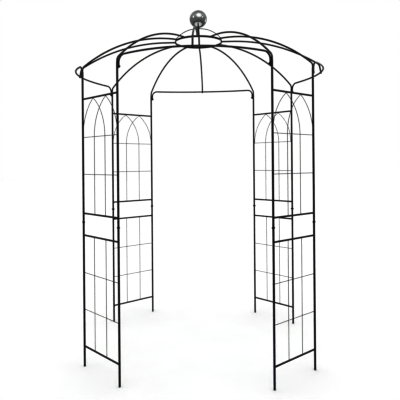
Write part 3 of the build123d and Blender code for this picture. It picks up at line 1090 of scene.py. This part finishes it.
def ring_seam():
    """The upright weld where the ring's band was closed, outside and inside."""
    shape = Shape()
    heading = outward_of(post_axis("back_left") + post_axis("left_back"))
    across = UP.cross(heading)
    for radius in (RING_OUTER - SEAM_INSET, RING_INNER + SEAM_INSET):
        rings = []
        for k in range(2 * SEAM_STEPS + 1):
            height = CROWN + (RING_DEPTH / 2 - SEAM_END_GAP) * (k - SEAM_STEPS) / SEAM_STEPS
            size = SEAM_RADIUS * (SEAM_BASE + SEAM_RIPPLE * abs(sin(k * SEAM_RIPPLE_TURN)))
            size *= SEAM_END if k in (0, 2 * SEAM_STEPS) else 1
            ring = []
            for i in range(SEAM_SIDES):
                angle = 2 * pi * i / SEAM_SIDES
                spoke = heading * cos(angle) * SEAM_HEIGHT + across * sin(angle) * SEAM_WIDTH
                ring.append(heading * radius + UP * height + spoke * size)
            rings.append(ring)
        shape.capped(rings)
    shape.piece("crown_ring_weld_seam", WELD_COAT)


def hoop(node, outward):
    """A flat strip with rounded edges, arched over the ring, its end tabs bolted inside it."""
    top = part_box(node)[1].z - BAND_THICKNESS / 2
    half = drop_path(outward, 0, HOOP_TAB_RADIUS, top, HOOP_TAB_BOTTOM, **HOOP)
    other = drop_path(-outward, 0, HOOP_TAB_RADIUS, top, HOOP_TAB_BOTTOM, **HOOP)
    points = half[::-1] + other[1:]
    across = UP.cross(outward)
    rings = []
    for point, (tangent, *_) in zip(points, frames_along(points)):
        normal = tangent.cross(across).normalized()
        rings.append([point + across * u + normal * v for u, v in strip_outline()])
    shape = Shape()
    shape.capped(rings)
    shape.piece(f"{node}_strip", COAT, node)


def strip_outline():
    """The strip's cross-section: a flat bar with rounded long edges."""
    half_width = HOOP_WIDTH / 2
    half_thick = BAND_THICKNESS / 2
    low_edge = ((-half_width, -half_thick), (half_width, -half_thick))
    high_edge = ((half_width, half_thick), (-half_width, half_thick))
    return rounded(low_edge + high_edge, BAND_ROUND)


# ---- all the fasteners ----

def header_screws():
    shape = Shape()
    for first, second in OPENINGS.values():
        for post, side in ((first, 1), (second, -1)):
            axis = post_axis(post)
            towards_post = -side * UP.cross(outward_of(axis))
            depth = LEG_OFFSET + TUBE_RADIUS
            start = axis - towards_post * depth + UP * HEADER_SCREW_HEIGHT
            add_bolt(shape, start, towards_post, depth, HEADER_SCREW_THREAD)
    shape.piece("header_screws_hex", BOLT, "header_screws")


def post_joint_fasteners():
    bolts = Shape()
    nuts = Shape()
    for first, second, _ in PANELS.values():
        panel = Panel(first, second)
        for side in (-1, 1):
            direction = panel.across * side
            start = panel.point(side * (panel.half_width - POST_RADIUS), JOINT_BOLT_HEIGHT)
            grip = 2 * POST_RADIUS
            threaded = NUT_HEIGHT + THREAD_PAST_NUT
            add_bolt(bolts, start, direction, grip + threaded, threaded)
            add_nut(nuts, start + direction * grip, direction)
    bolts.piece("post_joint_bolts_hex", BOLT, "post_joint_bolts")
    nuts.piece("post_joint_nuts_hex", BOLT, "post_joint_nuts")


def crown_bolts():
    shape = Shape()
    ring_seat = sqrt(RING_INNER**2 - FLANGE_RADIUS**2)
    hoop_seat = HOOP_TAB_RADIUS - BAND_THICKNESS / 2
    seats = [(outward_of(post_axis(post)), ring_seat) for post in POSTS]
    seats += [(outward_of(centre_of(f"rib_{opening}")), hoop_seat) for opening in OPENINGS]
    for outward, seat in seats:
        grip = RING_OUTER - seat + RIB_BOLT_GRIP
        add_bolt(shape, outward * seat + UP * CROWN, outward, grip, RIB_BOLT_THREAD)
    shape.piece("crown_bolts_hex", BOLT, "crown_bolts")


def mid_rib_bolts():
    shape = Shape()
    for opening in OPENINGS:
        outward = outward_of(centre_of(f"rib_{opening}"))
        up_foot = UP * cos(MID_RIB["lean"]) - outward * sin(MID_RIB["lean"])
        start = outward * HEADER_MIDDLE + UP * HEADER_HEIGHT - up_foot * TUBE_RADIUS
        add_bolt(shape, start, up_foot, 2 * TUBE_RADIUS + RIB_BOLT_GRIP, RIB_BOLT_THREAD)
    shape.piece("mid_rib_bolts_hex", BOLT, "mid_rib_bolts")


# ---- finial ----

def finial_ball():
    """The boss with its bore, a small neck, and the ball."""
    boss_top = BALL_CENTRE - BALL_RADIUS + BOSS_DEPTH_IN_BALL
    meet = asin((BOSS_RADIUS + BALL_NECK) / BALL_RADIUS)
    bore = M8["radius"] + FINE_EDGE
    ball_foot = BALL_CENTRE - BALL_RADIUS * cos(meet)
    profile = [
        (BOSS_BORE_END, boss_top),
        (bore, boss_top),
        (bore, BALL_SEAT + BOSS_BEVEL),
        (bore + BOSS_BEVEL, BALL_SEAT),
        (BOSS_RADIUS - BOSS_BEVEL, BALL_SEAT),
        (BOSS_RADIUS, BALL_SEAT + BOSS_BEVEL),
        (BOSS_RADIUS, ball_foot - BALL_NECK),
        (BOSS_RADIUS + BALL_NECK * NECK_BEND["out"], ball_foot - BALL_NECK * NECK_BEND["down"]),
    ]
    for k in range(BALL_STEPS):
        polar = meet + (pi - meet - BALL_POLE) * k / (BALL_STEPS - 1)
        profile.append((BALL_RADIUS * sin(polar), BALL_CENTRE - BALL_RADIUS * cos(polar)))
    shape = Shape()
    shape.capped(lathe_rings(profile, CENTRE, UP, BALL_SIDES))
    shape.piece("finial_ball_polished", MIRROR, "finial_ball", sharp=BALL_SHARP_EDGE)


def finial_bolt():
    shape = Shape()
    under_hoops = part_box("finial_bolt")[0].z + M8["head"] + FLANGE
    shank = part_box("finial_bolt")[1].z - under_hoops
    add_bolt(shape, UP * under_hoops, UP, shank, FINIAL_BOLT_THREAD, M8)
    shape.piece("finial_bolt_hex", BOLT, "finial_bolt")


# ---- build it ----

for name, (first, second, facing) in PANELS.items():
    panel = Panel(first, second)
    bottom, top = bars(name, "lower", panel)
    lower_trellis(name, panel, bottom, top)
    bottom, top = bars(name, "upper", panel)
    upper_trellis(name, panel, bottom, top, facing)
for post in POSTS:
    upper_post(post)
    lower_post(post)
    post_rib(post)
for opening in OPENINGS:
    header(opening)
    mid_rib(opening)
foot_plugs()
crown_ring()
hoop("hoop_front_back", Vector((0, -1, 0)))
hoop("hoop_left_right", Vector((1, 0, 0)))
header_screws()
post_joint_fasteners()
crown_bolts()
mid_rib_bolts()
finial_ball()
finial_bolt()

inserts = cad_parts["rib_inserts"]
zinc, insert_slot = ZINC
for material_slot in inserts.material_slots:
    material_slot.material = zinc


# ---- floor, light and camera ----

FLOOR_HALF = 40.0
DISPLAY_GAMMA = 0.46

# soft boxes: the place, the point they aim at, width in metres and power in watts
DOME = (0, 0, 2.7)
POST_TOPS = (0, 0, 2.0)
SOFT_LIGHTS = {
    "front_umbrella": ((0.6, -2.65, 5.0), DOME, 4.4, 42),
    "front_box": ((0.6, -2.6, 4.95), DOME, 0.9, 7),
    "left_box": ((-3.6, -1.5, 4.15), POST_TOPS, 1.2, 8),
    "right_box": ((3.4, -1.9, 3.65), POST_TOPS, 1.0, 4.5),
    "back_right_box": ((2.9, 2.0, 2.7), (0, 0, 2.4), 1.6, 7),
}

# the surroundings: brightness for diffuse light, and the grey seen in reflections by height
# (0 straight below, 1 straight above)
DIFFUSE_SURROUND = 1.135
REFLECTED_BELOW = ((0.0, 1.30), (0.09, 1.20), (0.14, 0.45), (0.17, 0.28), (0.3, 0.44))
REFLECTED_ABOVE = ((0.58, 0.45), (0.74, 0.66), (0.85, 0.70), (1.0, 0.52))

# the camera: its place, its heading and roll in degrees, and its lens in millimetres
EYE = (0.153, -4.110, 1.501)
HEADING = 3.415
ROLL = -0.46
LENS = 44.13
SENSOR = 36
LENS_SHIFT = (0.029, -0.0915)


def floor():
    """A large white square under the gazebo, unseen in reflections."""
    mesh = bpy.data.meshes.new("studio_floor")
    signs = ((-1, -1), (1, -1), (1, 1), (-1, 1))
    corners = [(x * FLOOR_HALF, y * FLOOR_HALF, 0) for x, y in signs]
    mesh.from_pydata(corners, [], [(0, 1, 2, 3)])
    mesh.materials.append(studio_white("studio_white"))
    obj = bpy.data.objects.new("studio_floor", mesh)
    obj.visible_glossy = False
    scene.collection.objects.link(obj)
    return obj


def all_but(obj):
    """A light-linking collection for lights that shine on everything except one object."""
    linked = bpy.data.collections.new(f"all_but_{obj.name}")
    linked.objects.link(obj)
    linked.collection_objects[0].light_linking.link_state = "EXCLUDE"
    return linked


def soft_light(name, receivers, place, target, width, power):
    """A round soft box aimed at a target; the camera doesn't see it."""
    light = bpy.data.lights.new(name, "AREA")
    light.shape = "DISK"
    light.size = width
    light.energy = power
    obj = bpy.data.objects.new(name, light)
    obj.location = place
    obj.rotation_euler = (Vector(target) - Vector(place)).to_track_quat("-Z", "Y").to_euler()
    obj.visible_camera = False
    obj.light_linking.receiver_collection = receivers
    scene.collection.objects.link(obj)


def studio_world():
    """White all round for the camera, brighter still for diffuse light, greys in reflections."""
    world = bpy.data.worlds.new("studio")
    scene.world = world
    world.use_nodes = True
    tree = world.node_tree
    nodes = tree.nodes
    links = tree.links
    background = nodes["Background"]
    coordinates = nodes.new("ShaderNodeTexCoord")
    split = nodes.new("ShaderNodeSeparateXYZ")
    ramp = nodes.new("ShaderNodeValToRGB")
    path = nodes.new("ShaderNodeLightPath")
    links.new(coordinates.outputs["Generated"], split.inputs["Vector"])
    level = nodes.new("ShaderNodeMapRange")
    fill(level, From_Min=-1)
    links.new(split.outputs["Z"], level.inputs["Value"])
    links.new(level.outputs["Result"], ramp.inputs["Fac"])
    stops = REFLECTED_BELOW + REFLECTED_ABOVE
    elements = ramp.color_ramp.elements
    for position, _ in stops[1:-1]:
        elements.new(position)
    for element, (_, grey) in zip(elements, stops):
        element.color = (grey, grey, grey, 1)
    surround = (DIFFUSE_SURROUND,) * 3
    seen = mixed_colour(tree, path.outputs["Is Diffuse Ray"], (1.0, 1.0, 1.0), surround)
    colour = mixed_colour(tree, path.outputs["Is Glossy Ray"], seen, ramp.outputs["Color"])
    links.new(colour, background.inputs["Color"])
    fill(background, Strength=1.0)


def camera():
    """At the height of a standing eye in front of the gazebo, a touch to the right."""
    data = bpy.data.cameras.new("camera")
    obj = bpy.data.objects.new("camera", data)
    level = Matrix.Rotation(radians(90), 4, "X")
    turn = Matrix.Rotation(radians(HEADING), 4, "Z") @ level
    roll = Matrix.Rotation(radians(ROLL), 4, "Z")
    obj.matrix_world = Matrix.Translation(EYE) @ turn @ roll
    data.lens = LENS
    data.sensor_width = SENSOR
    data.shift_x, data.shift_y = LENS_SHIFT
    scene.collection.objects.link(obj)
    scene.camera = obj


receivers = all_but(floor())
for name, settings in SOFT_LIGHTS.items():
    soft_light(name, receivers, *settings)
studio_world()
camera()
scene.view_settings.view_transform = "Standard"
scene.view_settings.gamma = DISPLAY_GAMMA
